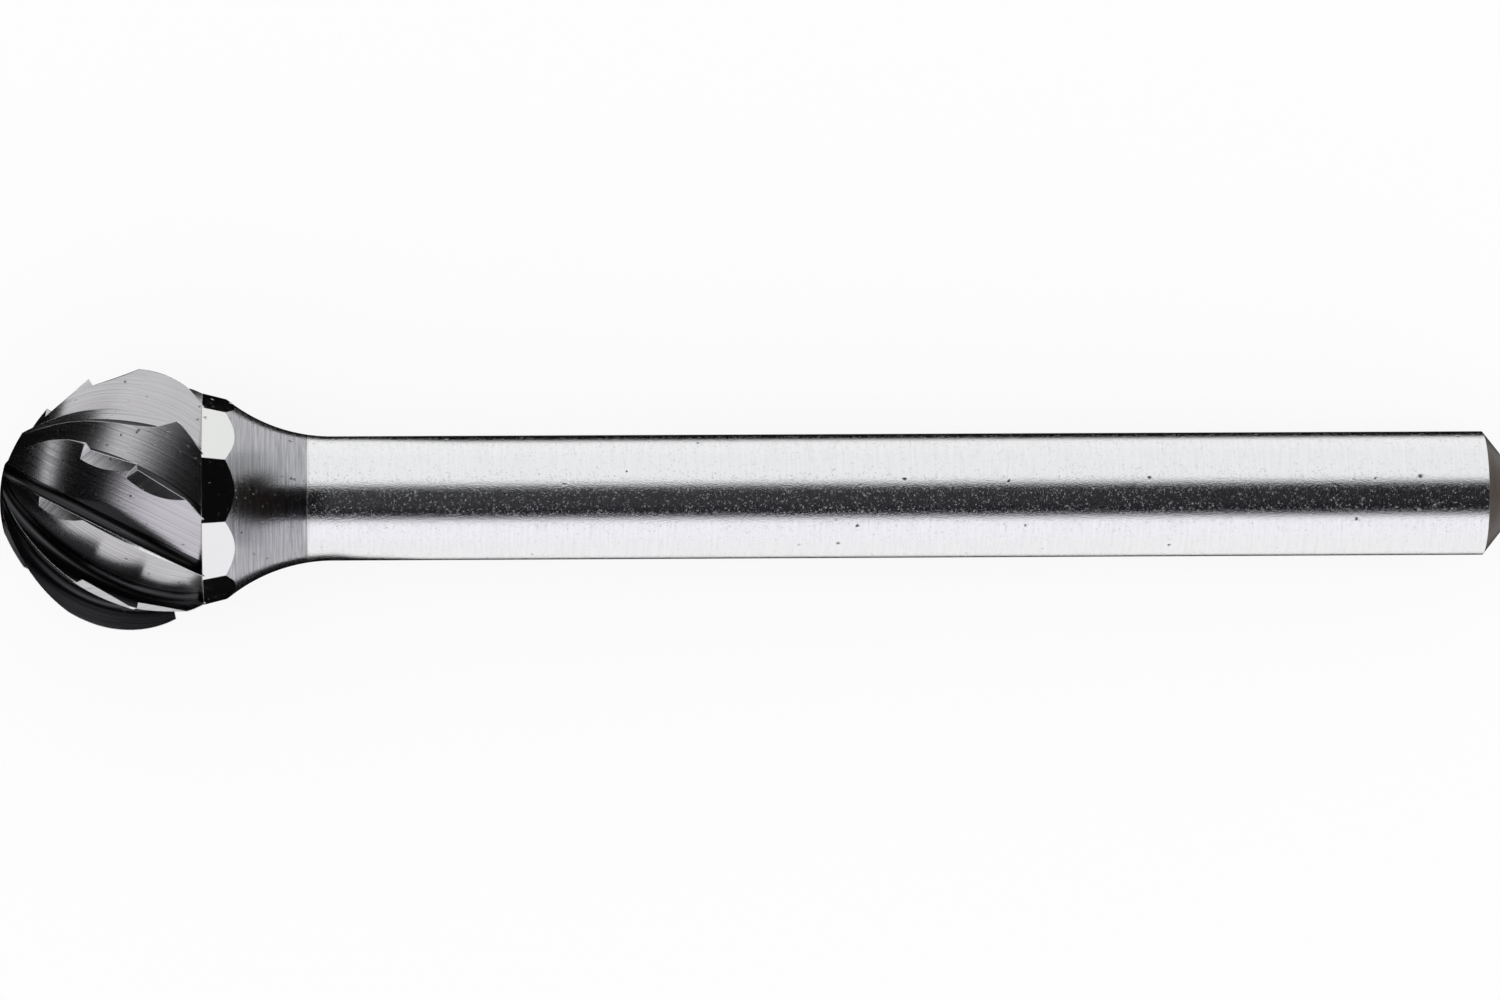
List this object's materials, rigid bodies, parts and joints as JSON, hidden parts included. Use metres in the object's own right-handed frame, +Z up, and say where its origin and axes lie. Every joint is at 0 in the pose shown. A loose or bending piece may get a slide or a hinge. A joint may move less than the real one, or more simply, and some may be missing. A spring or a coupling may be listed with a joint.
{
  "type": "rotary burr",
  "caption": "Ball-nosed carbide rotary burr with right-hand helical teeth and notched crests, brazed to a plain round shank.",
  "frame": {"origin": "middle of the part's footprint, on the surface it lies on", "axes": "+X from the ball towards the free end of the shank, +Z up; the axis of the burr falls towards the shank end, because the ball is thicker than the shank"},
  "size_m": [0.0364, 0.0062, 0.0061],
  "materials": {
    "carbide": "ground tungsten carbide, dark and glossy",
    "braze": "thin silver brazing seam",
    "steel": "ground steel with fine turning lines"
  },
  "bodies": {
    "root": {"carbide_head": "carbide", "braze_seam": "braze", "shank": "steel"}
  },
  "joints": []
}
